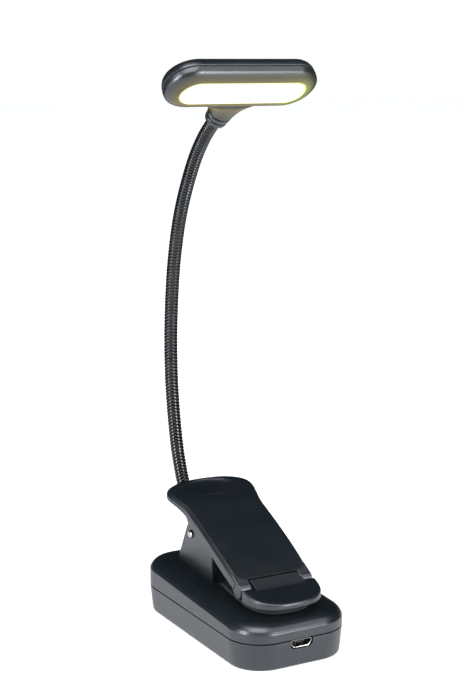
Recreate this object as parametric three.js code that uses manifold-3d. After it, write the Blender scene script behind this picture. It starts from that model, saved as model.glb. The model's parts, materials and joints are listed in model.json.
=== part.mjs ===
// Clip-on reading lamp: a clip base with a battery inside, a sprung lever with a rocking foot,
// a bendable gooseneck and a pill-shaped lamp head. Millimetres, +Z up.
// The origin is the centre of the base's underside, +X is across it, -Y is the charging port's end.

import * as THREE from 'three';
import { mergeVertices } from 'three/addons/utils/BufferGeometryUtils.js';
import Module from 'manifold-3d';

const wasm = await Module();
wasm.setup();

// ---- driving dimensions ----

const gap = 0.3; // clearance between pieces that touch or turn on each other

const base = {
  width: 39.3, length: 73.7, corner: 11.4, wall: 1.8, split: 8.8, edge: 13.3, top: 16.2, rise: 0.045, floor: 2,
};
const screw = { x: 13.5, y: 28, headRadius: 2.1, shankRadius: 1.1, length: 10.5, recess: 0.7 };
const port = { width: 7.4, height: 2.45, depth: 5.2, wall: 0.3, topZ: 8.6 };

const pivot = { y: 15.7, z: 28.9, radius: 1.1, headRadius: 1.35 };
const ear = { inner: 8.5, outer: 10.5, front: 1.5, rear: 25.3, round: 3.9 };
const lug = { inner: 6.1, outer: 8.1, round: 3.6 };
const coil = { radius: 2.7, wire: 0.5, turns: 7, halfLength: 4.4 };

const lever = { thickness: 1.6, chamfer: 0.9 };
const foot = {
  pinY: -19.3, pinZ: 20.7, pinRadius: 0.8, pinHalf: 12, tongue: 8.7, knuckle: 2.3, rear: -4.3, tip: -31.2,
};

const neckRadius = 2.3;
const neckSides = 10;
const socket = { y: 24.4, z: 16.3, lean: 42, bossRadius: 4.3, bushRadius: 3.4 };

const head = { y: -0.45, z: 171.16, faceDown: 54.87, length: 52, width: 18.6, split: 4.2, thickness: 8 };
const windowSize = { length: 43.6, width: 11.4 };
const boss = { start: 9.3, end: 20.1, z: 4, radius: 3.7 };
const leds = { count: 6, pitch: 6.5 };
const button = { length: 8.4, width: 4.4, proud: 0.35 };

// ---- materials ----

const paint = (color, roughness, metalness = 0) =>
  new THREE.MeshStandardMaterial({ color, roughness, metalness });

const graphite = paint('#2b3238', 0.38);
const rubber = paint('#17191b', 0.85);
const steel = paint('#b9bec2', 0.25, 1);
const nickel = paint('#a8a69f', 0.3, 1);
const blackSteel = paint('#1b1e21', 0.35, 0.6);
const lit = paint('#fff6e0', 0.4);
const clear = paint('#eef1f0', 0.1);
const boardGreen = paint('#1f4f35', 0.5);
const chipBlack = paint('#141414', 0.5);
const cellBlue = paint('#48627a', 0.4);
const foam = paint('#d9d6cc', 0.9);
const white = paint('#e9e7df', 0.5);

// ---- shape helpers ----

const lamp = new THREE.Group();

function piece(name, geometry, material, parent = lamp) {
  const mesh = new THREE.Mesh(geometry, material);
  mesh.name = name;
  parent.add(mesh);
  return mesh;
}

function solidOf(geometry) {
  const bare = geometry.clone();
  bare.deleteAttribute('normal');
  bare.deleteAttribute('uv');
  const merged = mergeVertices(bare, 1e-4);
  return new wasm.Manifold(new wasm.Mesh({
    numProp: 3,
    vertProperties: Float32Array.from(merged.attributes.position.array),
    triVerts: Uint32Array.from(merged.index.array),
  }));
}

function geometryOf(solid) {
  const mesh = solid.getMesh();
  const geometry = new THREE.BufferGeometry();
  geometry.setAttribute('position', new THREE.BufferAttribute(Float32Array.from(mesh.vertProperties), 3));
  geometry.setIndex(new THREE.BufferAttribute(Uint32Array.from(mesh.triVerts), 1));
  return geometry;
}

const join = (...geometries) => geometryOf(geometries.map(solidOf).reduce((all, one) => all.add(one)));

const cut = (body, ...tools) =>
  geometryOf(tools.map(solidOf).reduce((left, tool) => left.subtract(tool), solidOf(body)));

// Rectangle with round corners, counter-clockwise. A radius of half the width makes a pill.
function roundedOutline(halfX, halfY, radius, steps = 6) {
  const round = Math.min(radius, halfX, halfY);
  const points = [];
  for (let corner = 0; corner < 4; corner += 1) {
    const centreX = (corner === 0 || corner === 3 ? 1 : -1) * (halfX - round);
    const centreY = (corner < 2 ? 1 : -1) * (halfY - round);
    for (let step = 0; step <= steps; step += 1) {
      const angle = (corner + step / steps) * Math.PI / 2;
      const point = [centreX + round * Math.cos(angle), centreY + round * Math.sin(angle)];
      const last = points.at(-1);
      if (!last || Math.hypot(point[0] - last[0], point[1] - last[1]) > 1e-6) points.push(point);
    }
  }
  const [first, end] = [points[0], points.at(-1)];
  if (Math.hypot(first[0] - end[0], first[1] - end[1]) < 1e-6) points.pop();
  return points;
}

function turns(outline) {
  return outline.reduce((sum, [x, y], i) => {
    const [nextX, nextY] = outline[(i + 1) % outline.length];
    return sum + x * nextY - nextX * y;
  }, 0);
}

function capFaces(outline) {
  const faces = THREE.ShapeUtils.triangulateShape(outline.map(([x, y]) => new THREE.Vector2(x, y)), []);
  const way = Math.sign(turns(outline));
  return faces.map((face) => (turns(face.map((i) => outline[i])) * way > 0 ? face : [...face].reverse()));
}

function volume(positions, index) {
  const [a, b, c] = [new THREE.Vector3(), new THREE.Vector3(), new THREE.Vector3()];
  let total = 0;
  for (let i = 0; i < index.length; i += 3) {
    a.fromArray(positions, index[i] * 3);
    b.fromArray(positions, index[i + 1] * 3);
    c.fromArray(positions, index[i + 2] * 3);
    total += a.dot(b.cross(c));
  }
  return total;
}

// Skin over sections that have the same number of points. Each section is an outline and the place
// that it goes to. A looped skin joins its last section to its first and has no caps.
function skin(sections, looped = false) {
  const count = sections[0].outline.length;
  const positions = sections.flatMap(({ outline, at }) => outline.flatMap(([u, v]) => at(u, v)));
  const index = [];
  const bands = looped ? sections.length : sections.length - 1;
  for (let band = 0; band < bands; band += 1) {
    const low = band * count;
    const high = ((band + 1) % sections.length) * count;
    for (let i = 0; i < count; i += 1) {
      const next = (i + 1) % count;
      index.push(low + i, low + next, high + next, low + i, high + next, high + i);
    }
  }
  if (!looped) {
    const top = (sections.length - 1) * count;
    for (const [a, b, c] of capFaces(sections[0].outline)) index.push(c, b, a);
    for (const face of capFaces(sections.at(-1).outline)) index.push(...face.map((i) => i + top));
  }
  if (volume(positions, index) < 0) index.reverse();
  const geometry = new THREE.BufferGeometry();
  geometry.setAttribute('position', new THREE.Float32BufferAttribute(positions, 3));
  geometry.setIndex(index);
  return geometry;
}

const flatAt = (z) => (u, v) => [u, v, z];

// Outline in the YZ plane, made solid between two X values.
function sidePlate(outline, fromX, toX) {
  return skin([fromX, toX].map((x) => ({ outline, at: (y, z) => [x, y, z] })));
}

function rodAlongX(radius, fromX, toX, y, z, sides = 20) {
  return new THREE.CylinderGeometry(radius, radius, toX - fromX, sides)
    .rotateZ(Math.PI / 2)
    .translate((fromX + toX) / 2, y, z);
}

function rodUp(radius, fromZ, toZ, x = 0, y = 0, sides = 20) {
  return new THREE.CylinderGeometry(radius, radius, toZ - fromZ, sides)
    .rotateX(Math.PI / 2)
    .translate(x, y, (fromZ + toZ) / 2);
}

function block(width, length, height, x, y, z) {
  return new THREE.BoxGeometry(width, length, height).translate(x, y, z);
}

function arc(centre, radius, fromDegrees, toDegrees, steps) {
  return Array.from({ length: steps + 1 }, (_, i) => {
    const angle = THREE.MathUtils.degToRad(fromDegrees + (toDegrees - fromDegrees) * i / steps);
    return [centre[0] + radius * Math.cos(angle), centre[1] + radius * Math.sin(angle)];
  });
}

function tube(points, radius, sides, steps) {
  const path = new THREE.CatmullRomCurve3(points);
  const circle = new THREE.Path().absarc(0, 0, radius, 0, Math.PI * 2);
  const section = new THREE.Shape(circle.getSpacedPoints(sides).slice(1));
  return new THREE.ExtrudeGeometry(section, { steps, bevelEnabled: false, extrudePath: path });
}

// ---- base shells ----

const basePlan = (inset, z, rise = 0) => ({
  outline: roundedOutline(base.width / 2 - inset, base.length / 2 - inset, base.corner - inset),
  at: (u, v) => [u, v, z + rise * v],
});

// The top shell's roof climbs towards the neck.
const roofPlan = (inset, z) => basePlan(inset, z, base.rise);

function screwPlaces() {
  return [[-1, -1], [1, -1], [1, 1], [-1, 1]].map(([sx, sy]) => [sx * screw.x, sy * screw.y]);
}

const portMiddle = { y: -base.length / 2 + port.depth / 2 + 0.5, z: port.topZ - port.height / 2 };

function bottomShell() {
  const rim = base.split - gap / 2;
  let shell = skin([
    basePlan(1.7, 0),
    basePlan(1.1, 0.25),
    basePlan(0.8, 0.9),
    basePlan(0, rim),
    basePlan(base.wall, rim),
    basePlan(base.wall + 0.7, base.floor),
  ]);
  for (const [x, y] of screwPlaces()) {
    shell = join(shell, rodUp(3.3, base.floor - 0.5, 6, x, y));
    shell = cut(
      shell,
      rodUp(screw.headRadius + gap, -1, screw.recess + 1.6 + gap, x, y),
      rodUp(screw.shankRadius + gap, -1, 7, x, y),
    );
  }
  const openingHeight = port.height + gap * 2;
  const openingZ = rim - openingHeight / 2 + 0.5;
  return cut(shell, block(port.width + gap * 2, 4, openingHeight, 0, -base.length / 2 + 1, openingZ));
}

// The two ears stand on the top shell and carry the lever's pin.
function earOutline() {
  return [
    [ear.front, base.top - 1],
    [ear.rear, base.top - 1],
    [ear.rear - 0.6, base.top + 4.3],
    ...arc([pivot.y, pivot.z], ear.round, 22, 116, 6),
    [ear.front, 27.2],
  ];
}

// A group's turn that lays +Z along the neck where it leaves the base.
const socketTurn = -THREE.MathUtils.degToRad(socket.lean);

const leaned = (geometry) => geometry.rotateX(socketTurn).translate(0, socket.y, socket.z);

function topShell() {
  const rim = base.split + gap / 2;
  let shell = skin([
    roofPlan(9, base.top),
    roofPlan(6, base.top - 0.05),
    roofPlan(3.2, base.top - 0.25),
    roofPlan(1.6, base.top - 0.9),
    roofPlan(0.6, base.edge + 1),
    roofPlan(0.05, base.edge),
    basePlan(0, rim),
    basePlan(base.wall, rim),
    roofPlan(base.wall + 0.1, base.edge - 1.3),
    roofPlan(4.2, base.top - 2.2),
  ]);
  for (const side of [-1, 1]) {
    const [from, to] = [side * ear.inner, side * ear.outer].sort((a, b) => a - b);
    shell = join(shell, sidePlate(earOutline(), from, to));
  }
  shell = join(shell, leaned(rodUp(socket.bossRadius, -2.4, 3.4)));
  for (const [x, y] of screwPlaces()) {
    shell = join(shell, rodUp(2.8, rim, base.edge + 0.1 + base.rise * y, x, y));
    shell = cut(shell, rodUp(screw.shankRadius + gap, rim - 1, screw.length + screw.recess + 1, x, y));
  }
  return cut(
    shell,
    leaned(rodUp(socket.bushRadius + gap, -8, 6)),
    rodAlongX(pivot.radius + gap, -ear.outer - 1, ear.outer + 1, pivot.y, pivot.z),
  );
}

piece('base_bottom_shell', bottomShell(), graphite);
piece('base_top_shell', topShell(), graphite);

// ---- screws ----

function baseScrew() {
  const headTop = 1.6;
  const body = new THREE.LatheGeometry([
    new THREE.Vector2(0, 0),
    new THREE.Vector2(screw.headRadius, 0),
    new THREE.Vector2(screw.headRadius, headTop),
    new THREE.Vector2(screw.shankRadius, headTop),
    new THREE.Vector2(screw.shankRadius, screw.length - 1),
    new THREE.Vector2(0, screw.length),
  ], 16).rotateX(Math.PI / 2);
  const slot = block(2.6, 0.6, 1.4, 0, 0, 0);
  return cut(body, slot, slot.clone().rotateZ(Math.PI / 2));
}

screwPlaces().forEach(([x, y], i) => {
  piece(`base_screw_${i + 1}`, baseScrew(), steel).position.set(x, y, screw.recess);
});

// ---- battery and charging ----

const cell = { width: 20, length: 34, height: 5, y: 3 };

function batteryCell() {
  const bottom = base.floor + 0.8;
  return skin([
    [0.5, bottom], [0, bottom + 0.5], [0, bottom + cell.height - 0.5], [0.5, bottom + cell.height],
  ].map(([inset, z]) => ({
    outline: roundedOutline(cell.width / 2 - inset, cell.length / 2 - inset, 1.6, 3),
    at: (u, v) => [u, v + cell.y, z],
  })));
}

piece('battery_cell', batteryCell(), cellBlue);
piece('battery_tape', block(14, 26, 0.7, 0, cell.y, base.floor + 0.4), foam);

const boardTop = port.topZ - port.height - 0.05;

piece('charge_board', block(16, 14, 1, 0, -26.4, boardTop - 0.55), boardGreen);
piece('charge_chip', block(4, 4, 0.9, -4, -22.5, boardTop + 0.45), chipBlack);
piece('lead_plug', block(4.2, 3, 2, 4.4, -22, boardTop + 1), white);

function usbShell() {
  const corner = 0.7;
  const outline = (inset) =>
    roundedOutline(port.width / 2 - inset, port.height / 2 - inset, corner - inset / 2, 2);
  const front = portMiddle.y - port.depth / 2;
  const back = portMiddle.y + port.depth / 2;
  const at = (y) => (u, v) => [u, y, portMiddle.z + v];
  return skin([
    { outline: outline(0), at: at(back) },
    { outline: outline(0), at: at(front) },
    { outline: outline(port.wall), at: at(front) },
    { outline: outline(port.wall), at: at(back - 0.6) },
  ]);
}

piece('usb_shell', usbShell(), nickel);
piece('usb_tongue', block(3.6, 3.4, 0.6, 0, portMiddle.y + 0.2, portMiddle.z + 0.2), chipBlack);

// ---- pivot pin and spring ----

function pivotPin() {
  const end = ear.outer + gap;
  const shank = rodAlongX(pivot.radius, -end - 0.1, end + 0.1, 0, 0);
  const heads = [-1, 1].map((side) => {
    const [from, to] = [side * end, side * (end + 0.6)].sort((a, b) => a - b);
    return rodAlongX(pivot.headRadius, from, to, 0, 0);
  });
  return join(shank, ...heads);
}

piece('pivot_pin', pivotPin(), steel).position.set(0, pivot.y, pivot.z);

// One leg stands on the base, the other pushes the thumb end of the lever up.
function torsionSpring() {
  const lowLeg = -100;
  const highLeg = 62;
  const sweep = coil.turns * 360 + highLeg - lowLeg;
  const stepsPerTurn = 10;
  const steps = Math.round(sweep / 360 * stepsPerTurn);
  const around = (degrees, x, radius) => {
    const angle = THREE.MathUtils.degToRad(degrees);
    return new THREE.Vector3(x, radius * Math.cos(angle), radius * Math.sin(angle));
  };
  const points = [new THREE.Vector3(-coil.halfLength - 0.4, 5.6, -11.6)];
  for (let i = 0; i <= steps; i += 1) {
    const x = -coil.halfLength + 2 * coil.halfLength * i / steps;
    points.push(around(lowLeg + sweep * i / steps, x, coil.radius));
  }
  points.push(new THREE.Vector3(coil.halfLength + 0.4, 4.4, 9.2));
  return tube(points, coil.wire, 6, steps + 8);
}

piece('torsion_spring', torsionSpring(), steel).position.set(0, pivot.y, pivot.z);

// ---- lever ----

// Top line of the lever from the jaw to the thumb end: y, z, half width and depth of the side skirt.
const leverStations = [
  [-19.0, 23.7, 13.2, 3.4],
  [-14.3, 26.4, 13.5, 3.7],
  [-6.0, 30.6, 13.7, 3.7],
  [2.8, 34.7, 13.75, 3.7],
  [8.7, 37.2, 13.8, 3.5],
  [12.4, 38.8, 13.9, 3.0],
  [16.8, 40.3, 14.9, 2.5],
  [21.2, 41.6, 15.8, 2.4],
  [24.2, 42.4, 15.1, 2.4],
  [26.4, 43.0, 12.6, 2.3],
  [28.0, 43.4, 8.8, 2.2],
  [28.9, 43.6, 4.0, 2.1],
];

function leverSection(halfWidth, skirt) {
  const inner = halfWidth - lever.thickness;
  return [
    [halfWidth, -skirt],
    [halfWidth, -lever.chamfer],
    [halfWidth - lever.chamfer, 0],
    [lever.chamfer - halfWidth, 0],
    [-halfWidth, -lever.chamfer],
    [-halfWidth, -skirt],
    [-inner, -skirt],
    [-inner, -lever.thickness],
    [inner, -lever.thickness],
    [inner, -skirt],
  ];
}

function leverChannel() {
  return skin(leverStations.map(([y, z, halfWidth, skirt], i) => {
    const before = leverStations[Math.max(i - 1, 0)];
    const after = leverStations[Math.min(i + 1, leverStations.length - 1)];
    const slope = Math.atan2(after[1] - before[1], after[0] - before[0]);
    return {
      outline: leverSection(halfWidth, skirt),
      at: (u, v) => [u, y - v * Math.sin(slope), z + v * Math.cos(slope)],
    };
  }));
}

function lugOutline() {
  return [[8.4, 36.2], ...arc([pivot.y, pivot.z], lug.round, 190, 350, 8), [21.6, 40.8]];
}

// Prongs reach past the end of the plate, on both sides of the foot's tongue, and take the foot's pin.
function prongOutline() {
  return [[-16.6, 25.0], ...arc([foot.pinY, foot.pinZ], 2.5, 120, 290, 8), [-15.0, 22.2]];
}

const thumbDish = { y: 22.8, z: 42.05, halfX: 8.8, halfY: 4.3, depth: 0.7, tilt: 16.5 };

function dishTool() {
  return new THREE.SphereGeometry(1, 24, 10)
    .scale(thumbDish.halfX, thumbDish.halfY, thumbDish.depth)
    .rotateX(THREE.MathUtils.degToRad(thumbDish.tilt))
    .translate(0, thumbDish.y, thumbDish.z);
}

function clipLever() {
  let body = leverChannel();
  for (const side of [-1, 1]) {
    const span = (near, far) => [side * near, side * far].sort((a, b) => a - b);
    body = join(body, sidePlate(lugOutline(), ...span(lug.inner, lug.outer)));
    body = join(body, sidePlate(prongOutline(), ...span(foot.tongue + gap, 13.0)));
  }
  return cut(
    body,
    rodAlongX(pivot.radius + gap, -lug.outer - 1, lug.outer + 1, pivot.y, pivot.z),
    rodAlongX(foot.pinRadius + gap, -foot.pinHalf - gap, foot.pinHalf + gap, foot.pinY, foot.pinZ, 12),
    rodAlongX(foot.knuckle + gap, -foot.tongue - gap, foot.tongue + gap, foot.pinY, foot.pinZ, 24),
    block(2 * (foot.tongue + gap), 4, 12, 0, foot.pinY - 1.6, foot.pinZ),
    dishTool(),
  );
}

piece('clip_lever', clipLever(), graphite);
const footPin = rodAlongX(foot.pinRadius, -foot.pinHalf, foot.pinHalf, 0, 0, 12);
piece('foot_pin', footPin, steel).position.set(0, foot.pinY, foot.pinZ);

// ---- rocking foot ----

const soleZ = base.top + 0.15;
const padTop = soleZ + 0.8;

// Plan of the shoe: nearly straight sides from the rear end, then half an ellipse round the front.
function shoeOutline(halfRear, halfFront, rear, shoulder, tip) {
  const steps = 14;
  const nose = Array.from({ length: steps + 1 }, (_, i) => {
    const angle = Math.PI * i / steps;
    const round = (value, power) => Math.sign(value) * Math.abs(value) ** power;
    return [
      -halfFront * round(Math.cos(angle), 0.8),
      shoulder - (shoulder - tip) * round(Math.sin(angle), 0.8),
    ];
  });
  return [[halfRear, rear], [-halfRear, rear], ...nose];
}

function jawFoot() {
  const shoe = skin([
    { outline: shoeOutline(10.1, 11.3, foot.rear, -19.5, foot.tip), at: flatAt(padTop + 0.05) },
    { outline: shoeOutline(10.4, 12.1, foot.rear, -19.7, foot.tip - 1.1), at: flatAt(padTop + 0.9) },
    { outline: shoeOutline(10.4, 12.3, foot.rear, -19.7, foot.tip - 1.3), at: flatAt(padTop + 1.1) },
  ]);
  const cheek = skin([
    { outline: shoeOutline(12.2, 12.9, -17.2, -20.6, foot.tip - 1.2), at: flatAt(padTop + 1.0) },
    { outline: shoeOutline(12.6, 13.4, -22.4, -22.6, foot.tip - 2.4), at: flatAt(18.6) },
    { outline: shoeOutline(12.2, 12.9, -22.6, -22.8, foot.tip - 1.9), at: flatAt(19.3) },
    { outline: shoeOutline(9.8, 10.6, -22.8, -23.0, foot.tip - 0.2), at: flatAt(20.2) },
    { outline: shoeOutline(7.6, 8.0, -22.9, -23.2, -27.6), at: flatAt(21.2) },
  ]);
  const knuckle = sidePlate([
    [-30.0, 19.2],
    [-23.4, 21.9],
    [-19.5, 23.5],
    ...arc([foot.pinY, foot.pinZ], foot.knuckle, 84, -10, 6),
    [-15.8, 17.6],
    [-30.0, 17.6],
  ], -foot.tongue, foot.tongue);
  const body = join(shoe, cheek, knuckle);
  return cut(
    body,
    rodAlongX(foot.pinRadius + gap, -foot.pinHalf - gap, foot.pinHalf + gap, foot.pinY, foot.pinZ, 12),
    ...[-1, 1].map((side) => rodAlongX(2.5 + gap, ...[side * 8.7, side * 15].sort((a, b) => a - b),
      foot.pinY, foot.pinZ, 24)),
  );
}

// The pad's sole runs parallel to the base's roof.
function jawPad() {
  const outline = shoeOutline(9.5, 10.7, foot.rear - 0.5, -19.5, foot.tip + 0.6);
  return skin([
    { outline, at: (u, v) => [u, v, soleZ + base.rise * v] },
    { outline, at: flatAt(padTop) },
  ]);
}

piece('jaw_foot', jawFoot(), graphite);
piece('jaw_pad', jawPad(), rubber);

// ---- gooseneck ----

// The neck's middle line in the YZ plane, from the nut inside the base to the sleeve inside the head.
const neckRoute = [
  [21.1, 12.6], [24.4, 16.3], [33.4, 26.3], [40.7, 36.2], [45.6, 47.4], [48.5, 59.6], [50.2, 72.0],
  [50.7, 84.6], [50.0, 98.6], [47.5, 115.4], [42.3, 132.1], [33.0, 148.6], [26.1, 156.6],
  [19.4, 162.0], [11.6, 167.5],
];
const neckPoints = neckRoute.map(([y, z]) => new THREE.Vector3(0, y, z));
const neckCurve = new THREE.CatmullRomCurve3(neckPoints, false, 'centripetal');
neckCurve.arcLengthDivisions = 800;

// Distances along the neck at which it bends. The pieces between them are rigid.
const neckBends = { count: 7, first: 18.4, pitch: 23.35 };

function neckPiece(from, to, ballAt, cupAt) {
  const steps = Math.max(3, Math.round((to - from) * neckCurve.getLength() / 4));
  const pointAt = (i) => neckCurve.getPointAt(from + (to - from) * i / steps);
  const points = Array.from({ length: steps + 1 }, (_, i) => pointAt(i));
  let body = tube(points, neckRadius, neckSides, steps);
  if (ballAt) body = join(body, new THREE.SphereGeometry(neckRadius, 12, 8).translate(...ballAt));
  if (cupAt) body = cut(body, new THREE.SphereGeometry(neckRadius + gap, 16, 12).translate(...cupAt));
  return body;
}

const bendFractions = Array.from(
  { length: neckBends.count },
  (_, i) => (neckBends.first + i * neckBends.pitch) / neckCurve.getLength(),
);
const stops = [0, ...bendFractions, 1];
for (let i = 0; i <= neckBends.count; i += 1) {
  const ball = i < neckBends.count ? neckCurve.getPointAt(stops[i + 1]).toArray() : null;
  const cup = i > 0 ? neckCurve.getPointAt(stops[i]).toArray() : null;
  const name = i === 0 ? 'neck_stub' : `neck_seg_${i}`;
  piece(name, neckPiece(stops[i], stops[i + 1], ball, cup), blackSteel);
}

const ring = (outer, inner, length) => new THREE.LatheGeometry([
  new THREE.Vector2(inner, 0),
  new THREE.Vector2(outer, 0),
  new THREE.Vector2(outer, length),
  new THREE.Vector2(inner, length),
  new THREE.Vector2(inner, 0),
], 20).rotateX(Math.PI / 2);

const socketGroup = new THREE.Group();
socketGroup.position.set(0, socket.y, socket.z);
socketGroup.rotation.x = socketTurn;
lamp.add(socketGroup);
piece('neck_socket', ring(socket.bushRadius, neckRadius + gap, 5.4), rubber, socketGroup).position.z = -1.8;
piece('neck_nut', ring(3.3, neckRadius + gap, 1.8), steel, socketGroup).position.z = -4.6;

// ---- lamp head ----

// In the head's own frame the lit face is at z = 0, +Z points to the back cover and +Y along the boss.
const headGroup = new THREE.Group();
headGroup.position.set(0, head.y, head.z);
headGroup.rotation.x = THREE.MathUtils.degToRad(head.faceDown - 90);
lamp.add(headGroup);

const pill = (length, width, z) => ({
  outline: roundedOutline(length / 2, width / 2, width / 2, 8),
  at: flatAt(z),
});

// The boss flares out of the bezel's long side and tapers to a ring-grooved collar round the neck.
function bossBody() {
  const stations = [
    [6.0, 10.5, 3.3], [9.4, 10.5, 3.4], [10.6, 8.0, 3.5], [12.0, 6.1, 3.6], [13.8, 4.8, 3.7],
    [15.0, 4.3, 3.8],
    [15.3, 3.8, 3.4], [15.7, 3.8, 3.4], [16.0, 4.1, 3.8], [17.3, 3.9, 3.7],
    [17.6, 3.4, 3.2], [18.0, 3.4, 3.2], [18.3, 3.7, 3.6], [19.4, 3.6, 3.6], [boss.end, 3.1, 3.1],
  ];
  return skin(stations.map(([y, halfX, halfZ]) => ({
    outline: Array.from({ length: 24 }, (_, i) => {
      const angle = Math.PI * 2 * i / 24;
      return [halfX * Math.cos(angle), halfZ * Math.sin(angle)];
    }),
    at: (u, v) => [u, y, boss.z + v],
  })));
}

const rodAlongY = (radius, fromY, toY, z, sides = 20) =>
  new THREE.CylinderGeometry(radius, radius, toY - fromY, sides).translate(0, (fromY + toY) / 2, z);

const coverPlan = [
  [51.8, 18.5, head.split + 0.15],
  [51.6, 18.3, 5.4],
  [50.6, 17.3, 6.9],
  [48.4, 15.1, 7.7],
  [45.6, 12.3, head.thickness],
];

function headBezel() {
  const rim = head.split - 0.15;
  const frame = skin([
    pill(windowSize.length, windowSize.width, 0),
    pill(windowSize.length + 0.9, windowSize.width + 0.9, 0),
    pill(48.6, 15.6, 0.8),
    pill(51.7, 18.2, 2.2),
    pill(head.length, head.width, rim),
    pill(49.2, 15.8, rim),
    pill(48.8, 15.4, 2.6),
    pill(47.4, 14.0, 1.3),
    pill(windowSize.length, windowSize.width, 1.3),
  ], true);
  const coverRoom = skin([
    ...coverPlan.map(([length, width, z], i) => pill(length + gap * 2, width + gap * 2, i === 0 ? rim : z)),
    pill(40, 8, 12),
  ]);
  const inside = skin([pill(48.8, 15.4, 1.3), pill(48.8, 15.4, 9)]);
  const collar = cut(bossBody(), coverRoom, inside);
  return cut(
    join(frame, collar),
    rodAlongY(neckRadius + 0.85, 6, 17.5, boss.z),
    rodAlongY(neckRadius + gap, 6, 22, boss.z),
  );
}

function headBackCover() {
  const shell = skin([
    ...[...coverPlan].reverse().map(([length, width, z]) => pill(length, width, z)),
    pill(49.2, 15.9, head.split + 0.15),
    pill(48.6, 15.3, 5.7),
    pill(46.2, 12.9, 6.8),
  ]);
  return cut(shell, skin([
    pill(button.length + gap * 2, button.width + gap * 2, 6),
    pill(button.length + gap * 2, button.width + gap * 2, 9),
  ]));
}

function diffuser() {
  const [length, width] = [windowSize.length - gap * 2, windowSize.width - gap * 2];
  return skin([
    pill(length, width, 0.1),
    pill(length, width, 1.5),
    pill(46.4, 13.0, 1.5),
    pill(46.4, 13.0, 2.0),
  ]);
}

function powerButton() {
  const top = head.thickness + button.proud;
  return skin([
    pill(10.4, 6.4, 5.75),
    pill(10.4, 6.4, 6.2),
    pill(button.length, button.width, 6.2),
    pill(button.length, button.width, top - 0.3),
    pill(button.length - 0.8, button.width - 0.8, top),
  ]);
}

piece('head_bezel', headBezel(), graphite, headGroup);
piece('head_back_cover', headBackCover(), graphite, headGroup);
piece('head_diffuser', diffuser(), lit, headGroup);
piece('light_guide', skin([pill(45.6, 12.4, 2.2), pill(45.6, 12.4, 2.9)]), clear, headGroup);
piece('led_board', skin([pill(47.6, 14.2, 3.85), pill(47.6, 14.2, 4.6)]), white, headGroup);
for (let i = 0; i < leds.count; i += 1) {
  const led = piece(`led_${i + 1}`, block(2.8, 2.2, 0.6, 0, 0, 0), lit, headGroup);
  led.position.set((i - (leds.count - 1) / 2) * leds.pitch, 0, 3.4);
}
piece('tact_switch', block(5, 3.6, 0.5, 0, 0, 5), chipBlack, headGroup);
piece('power_button', powerButton(), rubber, headGroup);

const sleeve = ring(neckRadius + 0.65, neckRadius + gap / 2, 6.5).rotateX(-Math.PI / 2);
piece('crimp_sleeve', sleeve, steel, headGroup).position.set(0, 10.6, boss.z);

export default lamp;
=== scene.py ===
import json
import math

import bmesh
import bpy
from mathutils import Matrix, Vector


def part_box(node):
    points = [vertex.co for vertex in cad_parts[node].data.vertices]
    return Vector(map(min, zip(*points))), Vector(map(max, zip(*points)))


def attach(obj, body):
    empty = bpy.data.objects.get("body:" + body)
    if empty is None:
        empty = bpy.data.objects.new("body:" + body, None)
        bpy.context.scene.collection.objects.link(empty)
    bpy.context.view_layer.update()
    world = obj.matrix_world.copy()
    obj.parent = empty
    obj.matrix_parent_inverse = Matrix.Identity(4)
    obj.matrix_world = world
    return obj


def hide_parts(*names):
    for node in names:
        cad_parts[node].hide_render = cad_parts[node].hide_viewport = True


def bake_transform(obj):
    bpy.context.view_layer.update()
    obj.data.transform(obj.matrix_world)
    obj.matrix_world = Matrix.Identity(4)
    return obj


# Clip-on reading lamp: satin graphite plastic, a ribbed black gooseneck and a lit window.
# Metres, +Z up, the charging port looks along -Y.

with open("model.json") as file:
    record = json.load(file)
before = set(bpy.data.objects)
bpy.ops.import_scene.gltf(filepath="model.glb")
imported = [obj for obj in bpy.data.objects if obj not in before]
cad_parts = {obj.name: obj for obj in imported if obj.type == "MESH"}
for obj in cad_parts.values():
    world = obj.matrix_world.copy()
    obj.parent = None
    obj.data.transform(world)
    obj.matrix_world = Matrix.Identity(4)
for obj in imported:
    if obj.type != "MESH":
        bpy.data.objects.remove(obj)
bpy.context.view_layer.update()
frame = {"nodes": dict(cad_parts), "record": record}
mm = 0.001

# where the photo was taken from, fitted to its outlines
shot = {
    "place": (-0.22915, -0.40757, 0.18124),
    "forward": (0.4756, 0.8594, -0.1877),
    "up": (0.0909, 0.1642, 0.9822),
    "lens": 77.9,
    "sensor": 36,
    "clip": (0.01, 30),
}


def makeCamera():
    data = bpy.data.cameras.new("studioCamera")
    data.lens = shot["lens"]
    data.sensor_width = shot["sensor"]
    data.clip_start, data.clip_end = shot["clip"]
    camera = bpy.data.objects.new("studioCamera", data)
    bpy.context.scene.collection.objects.link(camera)
    forward = Vector(shot["forward"]).normalized()
    right = forward.cross(Vector(shot["up"])).normalized()
    up = right.cross(forward)
    turn = Matrix((right, up, -forward)).transposed().to_4x4()
    camera.matrix_world = Matrix.Translation(shot["place"]) @ turn
    bpy.context.scene.camera = camera


makeCamera()
print("camera placed")


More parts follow.
